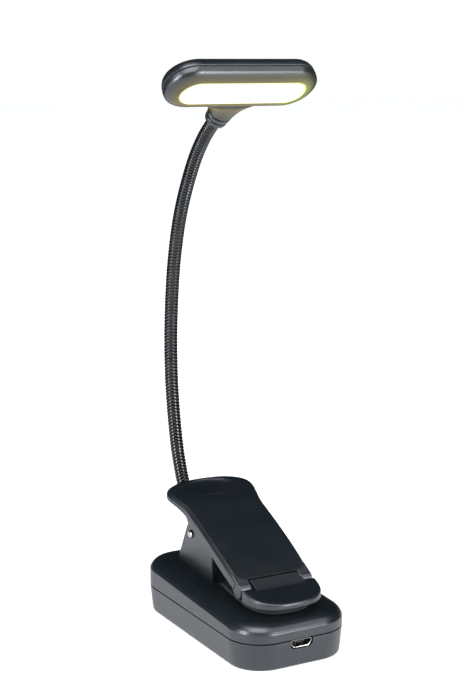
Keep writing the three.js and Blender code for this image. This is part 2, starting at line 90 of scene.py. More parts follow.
class Wire:
    # an output socket that can be used like a number in an expression
    def __init__(self, finish, out):
        self.finish = finish
        self.out = out

    def maths(self, way, first, second=0.0):
        return self.finish.node("ShaderNodeMath", {"operation": way}, {0: first, 1: second})

    def __add__(self, other):
        return self.maths("ADD", self, other)

    def __sub__(self, other):
        return self.maths("SUBTRACT", self, other)

    def __rsub__(self, other):
        return self.maths("SUBTRACT", other, self)

    def __mul__(self, other):
        return self.maths("MULTIPLY", self, other)

    def __truediv__(self, other):
        return self.maths("DIVIDE", self, other)

    def __pow__(self, other):
        return self.maths("POWER", self, other)

    def __abs__(self):
        return self.maths("ABSOLUTE", self)

    __radd__ = __add__
    __rmul__ = __mul__

    def atLeast(self, other):
        return self.maths("MAXIMUM", self, other)

    def atMost(self, other):
        return self.maths("MINIMUM", self, other)

    def ramp(self, low, high, fromValue=0.0, toValue=1.0):
        return self.finish.node("ShaderNodeMapRange", {"clamp": True}, {
            "Value": self, "From Min": low, "From Max": high, "To Min": fromValue, "To Max": toValue,
        })


class Finish:
    # one material: constants go straight on the shader, wires are fed to what varies
    def __init__(self, name, **constants):
        self.material = bpy.data.materials.new(name)
        self.material.use_nodes = True
        self.tree = self.material.node_tree
        self.shader = self.tree.nodes["Principled BSDF"]
        for socket, value in constants.items():
            self.shader.inputs[socket.replace("_", " ")].default_value = value

    def node(self, kind, settings=None, sockets=None, out=0):
        made = self.tree.nodes.new(kind)
        for key, value in (settings or {}).items():
            setattr(made, key, value)
        for key, value in (sockets or {}).items():
            if isinstance(value, Wire):
                self.tree.links.new(value.out, made.inputs[key])
            else:
                made.inputs[key].default_value = value
        return None if out is None else Wire(self, made.outputs[out])

    def feed(self, socket, wire):
        self.tree.links.new(wire.out, self.shader.inputs[socket])

    def place(self):
        return self.node("ShaderNodeTexCoord", out="Object")

    def grain(self, scale, detail=3.0, rough=0.5, at=None):
        sockets = {"Vector": at or self.place(), "Scale": scale, "Detail": detail, "Roughness": rough}
        return self.node("ShaderNodeTexNoise", {}, sockets, "Fac")

    def blendColour(self, mask, first, second):
        # by number, because the Mix node repeats its socket names for every data type
        return self.node("ShaderNodeMix", {"data_type": "RGBA"}, {0: mask, 6: first, 7: second}, 2)

    def bump(self, height, strength, distance):
        sockets = {"Height": height, "Strength": strength, "Distance": distance}
        self.feed("Normal", self.node("ShaderNodeBump", {}, sockets))


def tone(r, g, b):
    return (r, g, b, 1.0)


# satin plastic of the shells and the clip: near black, a little paler on its edges
graphite = {
    "dark": tone(0.0014, 0.0038, 0.0056),
    "light": tone(0.0030, 0.0060, 0.0082),
    "edge": tone(0.036, 0.040, 0.046),
    "edgeAt": (0.515, 0.60),
    "edgeShare": 0.6,
    "roughness": (0.31, 0.41),
    "tint": tone(0.93, 0.96, 1.05),
}
noiseRange = (0.3, 0.7)  # where most noise values fall


def graphiteFinish(name, **constants):
    finish = Finish(
        name, IOR=1.7, Coat_Weight=0.25, Coat_Roughness=0.25, Specular_Tint=graphite["tint"], **constants
    )
    cloud = finish.grain(90, 4)
    fine = finish.grain(2600, 2)
    pits = finish.grain(900, 3, 0.6)
    edges = finish.node("ShaderNodeNewGeometry", out="Pointiness").ramp(*graphite["edgeAt"])
    body = finish.blendColour(cloud, graphite["dark"], graphite["light"])
    paleEdged = finish.blendColour(edges * graphite["edgeShare"], body, graphite["edge"])
    finish.feed("Base Color", paleEdged)
    finish.feed("Roughness", (cloud * 0.6 + pits * 0.4).ramp(*noiseRange, *graphite["roughness"]))
    finish.bump(fine * 0.7 + pits * 0.3, 0.07, 0.00004)
    return finish


# the head's own frame: lit face at z = 0, +Z to the back, +Y along the boss
headTurn = math.radians(54.87 - 90)
headOrigin = Vector((0.0, -0.45, 171.16)) * mm
headFrame = Matrix.Translation(headOrigin) @ Matrix.Rotation(headTurn, 4, "X")
window = {
    "length": 43.6, "width": 11.4,
    "rim": (2.4, 5.4), "rimPower": 2.2, "rightEnd": (10, 21.5), "border": (5.05, 5.65),
    "heart": (tone(1.0, 0.995, 0.96), tone(1.0, 0.99, 0.90)),
    "pale": (tone(1.0, 0.93, 0.52), tone(0.90, 0.98, 0.22)),
    "borderTone": tone(0.52, 0.48, 0.10),
    "sheet": (tone(0.20, 0.19, 0.15), tone(0.16, 0.15, 0.12)),
    "edge": [(1.4, 0.1), (0.5, 0.13), (0, 0.3), (0.3, 1.5)],
    "flange": [(46.4, 13.0, 1.5), (46.4, 13.0, 2.0)],
}
# light spilt on the plastic around the window and on the boss, in millimetres from the window
glow = {
    "reach": 4.2, "power": 1.6, "rightEnd": (8, 24),
    "bossStart": (8.8, 9.3), "bossFade": (9.3, 15.5, 0.75, 0.0),
    "tones": (tone(0.170, 0.132, 0.0), tone(0.240, 0.270, 0.0)),
}
black = tone(0, 0, 0)


def windowDistance(finish):
    # millimetres from the window's long middle line, then along the head and along the boss
    back = headFrame.inverted()
    sockets = {"Vector": finish.place(), "Location": back.translation, "Rotation": (-headTurn, 0, 0)}
    local = finish.node("ShaderNodeMapping", {"vector_type": "POINT"}, sockets)
    x = finish.node("ShaderNodeSeparateXYZ", {}, {0: local})
    y = Wire(finish, x.out.node.outputs[1])
    halfStraight = (window["length"] - window["width"]) / 2 * mm
    side = (abs(x) - halfStraight).atLeast(0.0)
    away = (side * side + y * y) ** 0.5
    return away / mm, x / mm, y / mm


def glowingFinish():
    finish = graphiteFinish("satinGraphiteLit", Emission_Strength=1.0)
    away, x, y = windowDistance(finish)
    near = away.ramp(window["width"] / 2, window["width"] / 2 + glow["reach"], 1.0, 0.0)
    colour = finish.blendColour(x.ramp(*glow["rightEnd"]), *glow["tones"])
    boss = y.ramp(*glow["bossStart"]) * y.ramp(*glow["bossFade"])
    finish.feed("Emission Color", finish.blendColour((near ** glow["power"]).atLeast(boss), black, colour))
    return finish


def windowFinish():
    finish = Finish("litWindow", Roughness=0.35, Emission_Strength=1.0)
    away, x, _ = windowDistance(finish)
    haze = finish.grain(140, 2)
    rightEnd = x.ramp(*window["rightEnd"])
    pale = finish.blendColour(rightEnd, *window["pale"])
    heart = finish.blendColour(haze * 0.25, *window["heart"])
    mask = (away.ramp(*window["rim"]) ** window["rimPower"]) * (0.75 + haze * 0.2) + rightEnd * 0.12
    lit = finish.blendColour(mask.atMost(1.0), heart, pale)
    finish.feed("Emission Color", finish.blendColour(away.ramp(*window["border"]), lit, window["borderTone"]))
    finish.feed("Base Color", finish.blendColour(haze, *window["sheet"]))
    return finish


def metalFinish(name, first, second, low, high):
    finish = Finish(name, Metallic=1.0)
    stretch = finish.node("ShaderNodeMapping", {}, {"Vector": finish.place(), "Scale": (0.15, 1, 1)})
    brushed = finish.grain(2800, 3, at=stretch)
    finish.feed("Base Color", finish.blendColour(brushed, first, second))
    finish.feed("Roughness", brushed.ramp(*noiseRange, low, high))
    finish.bump(brushed, 0.12, 0.00004)
    return finish


def plainFinish(name, first, second, low, high, scale=1200, bump=0.2):
    finish = Finish(name)
    speckle = finish.grain(scale, 4, 0.6)
    finish.feed("Base Color", finish.blendColour(speckle, first, second))
    finish.feed("Roughness", speckle.ramp(*noiseRange, low, high))
    finish.bump(speckle, bump, 0.00005)
    return finish


# glossy black hose, its grooves painted darker than its crests: painted shade in the grooves
hoseLook = {
    "dark": (tone(0.002, 0.003, 0.004), tone(0.004, 0.005, 0.006)),
    "paintedPaleCrest": tone(0.010, 0.012, 0.014),
    "crestAt": (0.50, 0.62),
    "crestShare": 0.5,
    "roughness": (0.10, 0.17),
    "coat": (0.25, 0.45),
}


def hoseFinish():
    finish = Finish("blackHose", IOR=1.45, Coat_Roughness=0.12)
    cloud = finish.grain(400, 3)
    paintedPaleCrest = finish.node("ShaderNodeNewGeometry", out="Pointiness").ramp(*hoseLook["crestAt"])
    dark = finish.blendColour(cloud, *hoseLook["dark"])
    # painted shade: the grooves keep the dark tone, the crests get a paler one
    finish.feed("Base Color", finish.blendColour(paintedPaleCrest * hoseLook["crestShare"], dark, hoseLook["paintedPaleCrest"]))
    finish.feed("Roughness", cloud.ramp(*noiseRange, *hoseLook["roughness"]))
    finish.feed("Coat Weight", cloud.ramp(*noiseRange, *hoseLook["coat"]))
    return finish


finishes = {
    "graphite_plastic": graphiteFinish("satinGraphite"),
    "head_graphite": glowingFinish(),
    "rubber": plainFinish("mattRubber", tone(0.005, 0.006, 0.007), tone(0.010, 0.011, 0.012), 0.7, 0.9),
    "steel": metalFinish("brightSteel", tone(0.66, 0.67, 0.69), tone(0.50, 0.51, 0.53), 0.16, 0.30),
    "port_metal": metalFinish("nickelPlate", tone(0.52, 0.51, 0.47), tone(0.40, 0.39, 0.35), 0.20, 0.32),
    "neck_black": hoseFinish(),
    "diffuser": windowFinish(),
    "led": plainFinish("ledDie", tone(0.9, 0.75, 0.3), tone(0.95, 0.9, 0.6), 0.3, 0.4),
    "clear_guide": plainFinish("acrylicSheet", tone(0.85, 0.87, 0.86), tone(0.8, 0.83, 0.82), 0.08, 0.16),
    "board_white": plainFinish("whiteBoard", tone(0.8, 0.8, 0.77), tone(0.74, 0.74, 0.71), 0.4, 0.5),
    "board_green": plainFinish("greenBoard", tone(0.015, 0.09, 0.045), tone(0.02, 0.12, 0.06), 0.35, 0.5),
    "cell_wrap": plainFinish("shrinkWrap", tone(0.06, 0.12, 0.2), tone(0.08, 0.15, 0.24), 0.25, 0.4, 500),
    "foam": plainFinish("foamTape", tone(0.66, 0.64, 0.58), tone(0.56, 0.54, 0.49), 0.8, 0.95, 2000, 0.6),
    "plug_white": plainFinish("whiteNylon", tone(0.78, 0.76, 0.7), tone(0.72, 0.7, 0.64), 0.45, 0.6),
    "chip_black": plainFinish("mouldedChip", tone(0.008, 0.008, 0.008), tone(0.014, 0.014, 0.014), 0.4, 0.6),
}
print("finishes made", len(finishes))


# shapes are in millimetres until finishPiece makes them metres
def curveThrough(points, steps):
    # a smooth centripetal curve through every point, whatever its number of coordinates
    ends = [[2 * a - b for a, b in zip(points[0], points[1])]]
    ends += [list(p) for p in points]
    ends.append([2 * a - b for a, b in zip(points[-1], points[-2])])
    found = []
    for k in range(1, len(ends) - 2):
        p0, p1, p2, p3 = ends[k - 1:k + 3]
        pairs = ((p0, p1), (p1, p2), (p2, p3))
        d0, d1, d2 = (max(math.dist(a, b) ** 0.5, 1e-4) for a, b in pairs)
        for i in range(steps):
            t = i / steps
            point = []
            for a, b, c, d in zip(p0, p1, p2, p3):
                m1 = ((b - a) / d0 - (c - a) / (d0 + d1) + (c - b) / d1) * d1
                m2 = ((c - b) / d1 - (d - b) / (d1 + d2) + (d - c) / d2) * d1
                square, cube = -3 * b + 3 * c - 2 * m1 - m2, 2 * b - 2 * c + m1 + m2
                point.append(b + m1 * t + square * t ** 2 + cube * t ** 3)
            found.append(point)
    found.append(list(points[-1]))
    return found


def roundRect(halfX, halfY, radius, steps=12):
    # counter-clockwise, without doubled points where the straights have no length
    radius = min(radius, halfX, halfY)
    points = []
    for corner, (sx, sy) in enumerate(((1, 1), (-1, 1), (-1, -1), (1, -1))):
        for i in range(steps + 1):
            angle = (corner + i / steps) * math.pi / 2
            point = (
                sx * (halfX - radius) + radius * math.cos(angle),
                sy * (halfY - radius) + radius * math.sin(angle),
            )
            if not points or math.dist(points[-1], point) > 1e-6:
                points.append(point)
    if math.dist(points[0], points[-1]) < 1e-6:
        points.pop()
    return points


def offset(outline, inset):
    # the closed outline moved inwards, for a counter-clockwise list of points
    count = len(outline)
    moved = []
    for i, (u, v) in enumerate(outline):
        before, after = Vector(outline[i - 1]), Vector(outline[(i + 1) % count])
        here = Vector((u, v))
        first, second = (here - before).normalized(), (after - here).normalized()
        n1, n2 = Vector((-first.y, first.x)), Vector((-second.y, second.x))
        middle = (n1 + n2).normalized()
        moved.append(tuple(here + middle * (inset / max(middle.dot(n1), 0.4))))
    return moved


def arc(centre, radius, first, last, steps):
    turns = [math.radians(first + (last - first) * i / steps) for i in range(steps + 1)]
    return [(centre[0] + radius * math.cos(a), centre[1] + radius * math.sin(a)) for a in turns]


def loft(rings, looped=False, capLast=True):
    # rings with the same number of points joined into a closed body; looped makes it a frame
    count = len(rings[0])
    verts = [tuple(p) for ring in rings for p in ring]
    faces = []
    for band in range(len(rings) if looped else len(rings) - 1):
        low, high = band * count, ((band + 1) % len(rings)) * count
        for i in range(count):
            after = (i + 1) % count
            faces.append((low + i, low + after, high + after, high + i))
    if not looped:
        faces.append(tuple(reversed(range(count))))
        if capLast:
            faces.append(tuple(range(len(verts) - count, len(verts))))
    return solid(verts, faces)


def solid(verts, faces):
    form = bmesh.new()
    made = [form.verts.new(v) for v in verts]
    for face in faces:
        form.faces.new([made[i] for i in face])
    bmesh.ops.remove_doubles(form, verts=form.verts, dist=1e-5)
    bmesh.ops.dissolve_degenerate(form, edges=form.edges, dist=1e-6)
    bmesh.ops.recalc_face_normals(form, faces=form.faces)
    if form.calc_volume(signed=True) < 0:
        bmesh.ops.reverse_faces(form, faces=form.faces)
    mesh = bpy.data.meshes.new("form")
    form.to_mesh(mesh)
    form.free()
    made = bpy.data.objects.new("form", mesh)
    bpy.context.scene.collection.objects.link(made)
    return made


def settle(piece):
    # the piece's modifiers made part of its mesh
    bpy.context.view_layer.update()
    ready = piece.evaluated_get(bpy.context.evaluated_depsgraph_get())
    mesh = bpy.data.meshes.new_from_object(ready)
    piece.modifiers.clear()
    piece.data = mesh
    return piece


def combine(piece, way, tools):
    for tool in tools:
        step = piece.modifiers.new("step", "BOOLEAN")
        step.operation = way
        step.solver = "EXACT"
        step.object = tool
    settle(piece)
    for tool in tools:
        bpy.data.objects.remove(tool)
    return piece


def join(piece, *tools):
    return combine(piece, "UNION", tools)


def cut(piece, *tools):
    return combine(piece, "DIFFERENCE", tools)


def moved(piece, matrix):
    piece.data.transform(matrix)
    return piece


def flatRing(outline, z):
    return [(u, v, z) for u, v in outline]


def sidePlate(outline, fromX, toX, soft=0.3):
    # an outline in the YZ plane made solid between two X values, with rounded edges
    rings = []
    for share in (0.0, 0.3, 1.0):
        inset = soft * (1 - math.sin(share * math.pi / 2))
        rings.append((fromX + soft * (1 - math.cos(share * math.pi / 2)), inset))
    rings += [(fromX + toX - x, inset) for x, inset in reversed(rings)]
    return loft([[(x, y, z) for y, z in offset(outline, inset)] for x, inset in rings])


def turned(profile, sides=40):
    # a closed body turned about Z from (radius, height) points, ends on the axis
    rings = []
    for radius, height in profile:
        radius = max(radius, 1e-3)
        rings.append([
            (radius * math.cos(2 * math.pi * i / sides), radius * math.sin(2 * math.pi * i / sides), height)
            for i in range(sides)
        ])
    return loft(rings)


def rodAlongX(radius, fromX, toX, y, z, sides=40):
    form = turned([(radius, fromX), (radius, toX)], sides)
    return moved(form, Matrix.Translation((0, y, z)) @ Matrix.Rotation(math.radians(90), 4, "Y"))


def softBlock(halfX, halfY, halfZ, centre, soft=0.2):
    rings = [
        flatRing(roundRect(halfX - inset, halfY - inset, 0.4, 4), z)
        for z, inset in ((-halfZ, soft), (soft - halfZ, 0), (halfZ - soft, 0), (halfZ, soft))
    ]
    return moved(loft(rings), Matrix.Translation(centre))


def sweep(points, radiusAt, sides, across=Vector((1, 0, 0))):
    # a round body along points, each section carried on from the one before without twist
    rings = []
    for i, point in enumerate(points):
        before, after = points[max(i - 1, 0)], points[min(i + 1, len(points) - 1)]
        along = (after - before).normalized()
        first = (across - along * across.dot(along)).normalized()
        second = along.cross(first)
        across = first
        ring = []
        for k in range(sides):
            angle = 2 * math.pi * k / sides
            radius = radiusAt(i, angle)
            ring.append(point + (first * math.cos(angle) + second * math.sin(angle)) * radius)
        rings.append(ring)
    return loft(rings)


def finishPiece(piece, name, body, slot, nodes, finish=None, sharp=32, ride=True):
    # metres, name, material chosen by slot or finish, and normals; then the piece is hung on its body when it
    # rides, and the CAD nodes it stands for are hidden
    moved(piece, Matrix.Scale(mm, 4))
    piece.name = name
    piece.data.name = name
    piece.data.materials.clear()
    piece.data.materials.append(finishes[finish or slot].material)
    piece.data.shade_smooth()
    piece.data.set_sharp_from_angle(angle=math.radians(sharp))
    even = piece.modifiers.new("evenNormals", "WEIGHTED_NORMAL")
    even.keep_sharp = True
    even.weight = 60
    settle(piece)
    if ride:
        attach(piece, body)
    if nodes:
        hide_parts(*nodes)
    return piece


# the two shells of the base, with the port, the clip's ears and the neck's boss
base = {
    "width": 39.3, "length": 73.7, "corner": 11.4, "split": 8.8, "gap": 0.3, "wall": 1.8, "floor": 2,
    "rise": 0.045, "edge": 13.3,
    "roofProfile": [(0.22, 13.66), (0.6, 14.3), (1.6, 15.25), (3.2, 15.9), (6, 16.15), (9, 16.2)],
    "footProfile": [(1.7, 0), (1.25, 0.1), (0.95, 0.45), (0.8, 0.95), (0.4, 4.8), (0.03, 8.35)],
    "screws": [(-13.5, -28), (13.5, -28), (13.5, 28), (-13.5, 28)],
    "lowPost": [(3.3, 1.5), (3.1, 6)],
    "lowHole": [(2.4, -1), (2.4, 2.6), (1.4, 2.6), (1.4, 7)],
    "highPost": {"radius": 2.8, "top": 13.4},
    "highHole": {"radius": 1.4, "top": 12.1},
    "roof": {"wall": 4.2, "z": 14.0, "below": 1.3},
    "lip": [(0.05, 0.08), (0.2, 0.0)], "lipInside": 0.1,
}
port = {"halfWidth": 3.7, "halfHeight": 1.225, "middleZ": 7.375, "corner": 1.05, "chamfer": 0.35}
ear = {
    "inner": 8.5, "outer": 10.5, "front": 1.5, "rear": 25.3, "foot": 15.2, "waist": (24.9, 19.4),
    "round": 3.9, "turn": (22, 116), "shoulder": 27.2, "soft": 0.32, "hole": 1.4,
}
socket = {
    "y": 24.4, "z": 16.3, "lean": 42,
    "boss": [(4.3, -2.4), (4.3, 2.9), (4.15, 3.25), (3.85, 3.4)],
    "bore": [(3.5, -8), (3.5, 6)],
}
pinLow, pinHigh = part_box("pivot_pin")
pivot = (pinLow + pinHigh) / 2 / mm


def baseRing(inset, z, rise=0.0):
    outline = roundRect(base["width"] / 2 - inset, base["length"] / 2 - inset, base["corner"] - inset, 16)
    return [(u, v, z + rise * v) for u, v in outline]


def roofRing(inset, z):
    return baseRing(inset, z, base["rise"])


def portOutline(spare):
    # the port's section: small chamfers above, wide ones below
    halfX, halfZ = port["halfWidth"] + spare, port["halfHeight"] + spare
    corner, chamfer = port["corner"], port["chamfer"]
    right = [
        (halfX - corner, -halfZ), (halfX, corner - halfZ), (halfX, halfZ - chamfer), (halfX - chamfer, halfZ),
    ]
    left = [(-x, z) for x, z in reversed(right)]
    return left[1:] + right + left[:1]


def portRing(spare, y):
    return [(u, y, port["middleZ"] + v) for u, v in portOutline(spare)]


def leaned(piece):
    # from the neck socket's own axis to its place in the base
    turn = Matrix.Rotation(-math.radians(socket["lean"]), 4, "X")
    return moved(piece, Matrix.Translation((0, socket["y"], socket["z"])) @ turn)


def atScrews(profileAt):
    # one turned form on each screw's axis
    forms = [turned(profileAt(y)) for _, y in base["screws"]]
    return [moved(form, Matrix.Translation((x, y, 0))) for form, (x, y) in zip(forms, base["screws"])]


def lipRings(rim, side):
    # a shell's edge at the split line, from its outer face to its inner face
    soft, wall = base["lipInside"], base["wall"]
    rows = base["lip"] + [(wall - soft, 0.0), (wall, soft)]
    return [baseRing(inset, rim + side * back) for inset, back in rows]


def lowerShell():
    rim = base["split"] - base["gap"] / 2
    rings = [baseRing(inset, z) for inset, z in curveThrough(base["footProfile"], 3)]
    form = loft(rings + lipRings(rim, -1) + [baseRing(base["wall"] + 0.7, base["floor"])])
    posts = atScrews(lambda y: base["lowPost"])
    holes = atScrews(lambda y: base["lowHole"])
    join(form, *posts)
    front = -base["length"] / 2
    mouth = loft([portRing(0.3, front - 2), portRing(0.3, front + 4)])
    return cut(form, mouth, *holes)


def earPlate(side):
    outline = [(ear["front"], ear["foot"]), (ear["rear"], ear["foot"]), ear["waist"]]
    outline += arc((pivot.y, pivot.z), ear["round"], *ear["turn"], 14) + [(ear["front"], ear["shoulder"])]
    near, far = sorted((side * ear["inner"], side * ear["outer"]))
    return sidePlate(outline, near, far, ear["soft"])


def upperShell():
    rim = base["split"] + base["gap"] / 2
    wall, roof, post, hole = (base[key] for key in ("wall", "roof", "highPost", "highHole"))
    rings = lipRings(rim, 1)[::-1] + [baseRing(0.0, rim + 0.3)]
    rings += [roofRing(0.0, base["edge"] - 0.1), roofRing(0.06, base["edge"] + 0.12)]
    rings += [roofRing(inset, z) for inset, z in curveThrough(base["roofProfile"], 4)]
    outer = loft(rings)
    hollow = loft([
        baseRing(wall, rim - 1), baseRing(wall, rim + 0.1),
        roofRing(wall + 0.1, base["edge"] - roof["below"]), roofRing(roof["wall"], roof["z"]),
    ])
    cut(outer, hollow)
    boss = leaned(turned(socket["boss"], 48))
    posts = atScrews(lambda y: [(post["radius"], rim), (post["radius"], post["top"] + base["rise"] * y)])
    holes = atScrews(lambda y: [(hole["radius"], rim - 1), (hole["radius"], hole["top"])])
    join(outer, earPlate(-1), earPlate(1), boss, *posts)
    bore = leaned(turned(socket["bore"]))
    return cut(outer, bore, rodAlongX(ear["hole"], -12, 12, pivot.y, pivot.z), *holes)


finishPiece(lowerShell(), "baseLower", "base", "graphite_plastic", ["base_bottom_shell"])
finishPiece(upperShell(), "baseUpper", "base", "graphite_plastic", ["base_top_shell"])
print("base shells made")


def portShell():
    low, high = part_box("usb_shell")
    front, back = low.y / mm, high.y / mm
    lip = [(0, 0.5), (0.02, 0.12), (-0.05, 0), (-0.2, 0.05), (-0.3, 0.5)]  # spare, distance from the front
    rings = [portRing(0, back)] + [portRing(spare, front + inwards) for spare, inwards in lip]
    return loft(rings + [portRing(-0.3, back - 0.6)])


finishPiece(portShell(), "portShell", "base", "port_metal", ["usb_shell"], sharp=28)

# radius and distance from the end, for both heads of the clip's pin
pinHead = [(0.55, 0), (1.05, 0.1), (1.3, 0.3), (1.35, 0.6), (1.1, 0.62)]


def pivotPin():
    end = pinHigh.x / mm
    profile = [(radius, inwards - end) for radius, inwards in pinHead]
    profile += [(radius, end - inwards) for radius, inwards in reversed(pinHead)]
    form = turned(profile, 48)
    return moved(form, Matrix.Translation(pivot) @ Matrix.Rotation(math.radians(90), 4, "Y"))


finishPiece(pivotPin(), "pivotPin", "base", "steel", ["pivot_pin"])

# the legs' ends are measured from the coil's own ends
coil = {
    "radius": 2.7, "wire": 0.5, "turns": 7, "halfLength": 4.4, "lowLeg": -100, "highLeg": 62, "degrees": 12,
    "lowEnd": [(-0.4, 5.6, -11.6), (-0.35, 3.4, -8.0)], "highEnd": [(0.35, 3.1, 6.4), (0.4, 4.4, 9.2)],
}


def torsionSpring():
    sweepAngle = coil["turns"] * 360 + coil["highLeg"] - coil["lowLeg"]
    steps = round(sweepAngle / coil["degrees"])
    half = coil["halfLength"]
    points = [pivot + Vector((x - half, y, z)) for x, y, z in coil["lowEnd"]]
    for i in range(steps + 1):
        angle = math.radians(coil["lowLeg"] + sweepAngle * i / steps)
        offsetX = -half + 2 * half * i / steps
        around = Vector((offsetX, coil["radius"] * math.cos(angle), coil["radius"] * math.sin(angle)))
        points.append(pivot + around)
    points += [pivot + Vector((half + x, y, z)) for x, y, z in coil["highEnd"]]
    return sweep(points, lambda i, angle: coil["wire"], 12)


spring = finishPiece(torsionSpring(), "clipSpring", "base", "steel", ["torsion_spring"], ride=False)
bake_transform(spring)

bush = {
    "profile": [(2.6, -1.8), (3.4, -1.8), (3.4, 3.2), (3.32, 3.5), (3.15, 3.6), (2.75, 3.6), (2.6, 3.45)],
    "sides": 40,
}


def neckBush():
    turns = [math.tau * i / bush["sides"] for i in range(bush["sides"])]
    rings = [[(r * math.cos(turn), r * math.sin(turn), z) for turn in turns] for r, z in bush["profile"]]
    return leaned(loft(rings, looped=True))


finishPiece(neckBush(), "neckBush", "base", "rubber", ["neck_socket"])
print("pin, spring and bush made")

# the clip's lever: stations are (y, top height, half width, skirt depth)
lever = {
    "stations": [
        (-19.0, 23.7, 13.2, 3.4), (-14.3, 26.4, 13.5, 3.7), (-6.0, 30.6, 13.7, 3.7), (2.8, 34.7, 13.75, 3.7),
        (8.7, 37.2, 13.8, 3.5), (12.4, 38.8, 13.9, 3.0), (16.8, 40.3, 14.9, 2.5), (21.2, 41.6, 15.8, 2.4),
        (24.2, 42.4, 15.1, 2.4), (26.4, 43.0, 12.6, 2.3), (28.0, 43.4, 8.8, 2.2), (29.6, 43.75, 4.0, 2.1),
    ],
    "endY": 21.2, "endReach": 7.85, "endPower": 2.25, "endWidth": 15.8, "endSteps": 30,
    "thick": 1.6, "soft": 0.25, "coarse": 1.0, "fine": 0.4, "fineFrom": 11, "slopeOver": 0.9,
    "rim": [(1.15, 0), (0.93, 0.05), (0.76, 0.17), (0.17, 0.76), (0.05, 0.93), (0, 1.15)],
    "columns": 36,
    "dish": {"y": 22.7, "halfX": 9.2, "halfY": 4.5, "depth": 0.9, "lip": 0.13},
    "lug": {"front": (8.4, 36.2), "rear": (21.6, 40.6), "round": 3.6, "turn": (190, 350), "x": (6.1, 8.1)},
    "prong": {"top": (-16.6, 25.0), "under": (-15.0, 22.2), "turn": (120, 290), "outer": 13.0},
    "slot": {"halfY": 2, "halfZ": 6, "back": 1.6},
}
foot = {
    "pinY": -19.3, "pinZ": 20.7, "pinRadius": 0.8, "pinHalf": 12, "tongue": 8.7, "knuckle": 2.3, "prong": 2.5,
}
gap = 0.3


def pinHole():
    reach = foot["pinHalf"] + gap
    return rodAlongX(foot["pinRadius"] + gap, -reach, reach, foot["pinY"], foot["pinZ"])


leverPath = curveThrough(lever["stations"], 12)


def leverAt(y):
    # height, half width, skirt and slope of the lever's top line at y
    for a, b in zip(leverPath, leverPath[1:]):
        if y <= b[0] or b is leverPath[-1]:
            t = (y - a[0]) / (b[0] - a[0])
            z, width, skirt = (p + (q - p) * t for p, q in zip(a[1:], b[1:]))
            break
    near = [p for p in leverPath if abs(p[0] - y) < lever["slopeOver"]]
    slope = math.atan2(near[-1][1] - near[0][1], near[-1][0] - near[0][0])
    return z, width, skirt, slope


def leverPlan():
    # plan points (y, half width) from the jaw to the middle of the thumb end
    plan = []
    y = lever["stations"][0][0]
    while y < lever["endY"] - 0.2:
        plan.append((y, leverAt(y)[1]))
        y += lever["coarse"] if y < lever["fineFrom"] else lever["fine"]
    power = 2 / lever["endPower"]
    for i in range(lever["endSteps"] + 1):
        angle = math.pi / 2 * i / lever["endSteps"]
        reach = lever["endReach"] * math.sin(angle) ** power
        plan.append((lever["endY"] + reach, lever["endWidth"] * max(math.cos(angle), 0) ** power))
    plan[-1] = (lever["endY"] + lever["endReach"], 0.0)
    return plan


def dishDepth(x, y):
    # the thumb dish, with a low raised lip around it
    dish = lever["dish"]
    away = (x / dish["halfX"]) ** 2 + ((y - dish["y"]) / dish["halfY"]) ** 2
    bowl = dish["depth"] * max(0.0, 1 - away) ** 0.6
    return bowl - dish["lip"] * math.exp(-((away - 1.1) / 0.16) ** 2)


def leverShell():
    plan = leverPlan()
    thick, soft, columns = lever["thick"], lever["soft"], lever["columns"]
    rings = []
    for i, (y, half) in enumerate(plan):
        y0, w0 = plan[max(i - 1, 0)]
        y1, w1 = plan[min(i + 1, len(plan) - 1)]
        if i == len(plan) - 1:
            ny, nw = 1.0, 0.0
        else:
            length = math.hypot(y1 - y0, w1 - w0)
            ny, nw = -(w1 - w0) / length, (y1 - y0) / length

        def at(inset, depth):
            across = max(half - inset * nw, 0.0)
            alongY = y - inset * ny
            z, _, _, slope = leverAt(alongY)
            return across, alongY + depth * math.sin(slope), z - depth * math.cos(slope)

        skirt = leverAt(y)[2]
        outer = lever["rim"] + [(0, skirt - soft), (0.07, skirt - 0.07), (soft, skirt)]
        inner = [(thick - soft, skirt), (thick - 0.05, skirt - 0.1), (thick, thick + 0.4), (thick + 0.3, thick)]
        right = [at(*place) for place in outer + inner]
        left = [(-x, yy, z) for x, yy, z in reversed(right)]
        topX, topY, topZ = right[0]
        bottomX, bottomY, bottomZ = right[-1]
        top = []
        for k in range(1, columns):
            x = topX * (2 * k / columns - 1)
            top.append((x, topY, topZ - dishDepth(x, topY)))
        ceiling = [(bottomX * (1 - 2 * k / columns), bottomY, bottomZ) for k in range(1, columns)]
        rings.append(left + top + right + ceiling)
    return loft(rings, capLast=False)


def leverPiece():
    # the shell with two lugs for the clip's pin and two prongs for the foot's pin
    form = leverShell()
    lug, prong, slot = lever["lug"], lever["prong"], lever["slot"]
    reach = foot["tongue"] + gap
    lugs, prongs = [], []
    for side in (-1, 1):
        outline = [lug["front"]] + arc((pivot.y, pivot.z), lug["round"], *lug["turn"], 20) + [lug["rear"]]
        near, far = sorted(side * x for x in lug["x"])
        lugs.append(sidePlate(outline, near, far, 0.25))
        around = arc((foot["pinY"], foot["pinZ"]), foot["prong"], *prong["turn"], 20)
        near, far = sorted((side * reach, side * prong["outer"]))
        prongs.append(sidePlate([prong["top"]] + around + [prong["under"]], near, far, 0.2))
    join(form, *lugs, *prongs)
    return cut(
        form,
        rodAlongX(ear["hole"], -9, 9, pivot.y, pivot.z),
        pinHole(),
        rodAlongX(foot["knuckle"] + gap, -reach, reach, foot["pinY"], foot["pinZ"], 48),
        softBlock(reach, slot["halfY"], slot["halfZ"], (0, foot["pinY"] - slot["back"], foot["pinZ"]), 0.01),
    )


finishPiece(leverPiece(), "clipLever", "lever", "graphite_plastic", ["clip_lever"], sharp=28)
print("lever made")

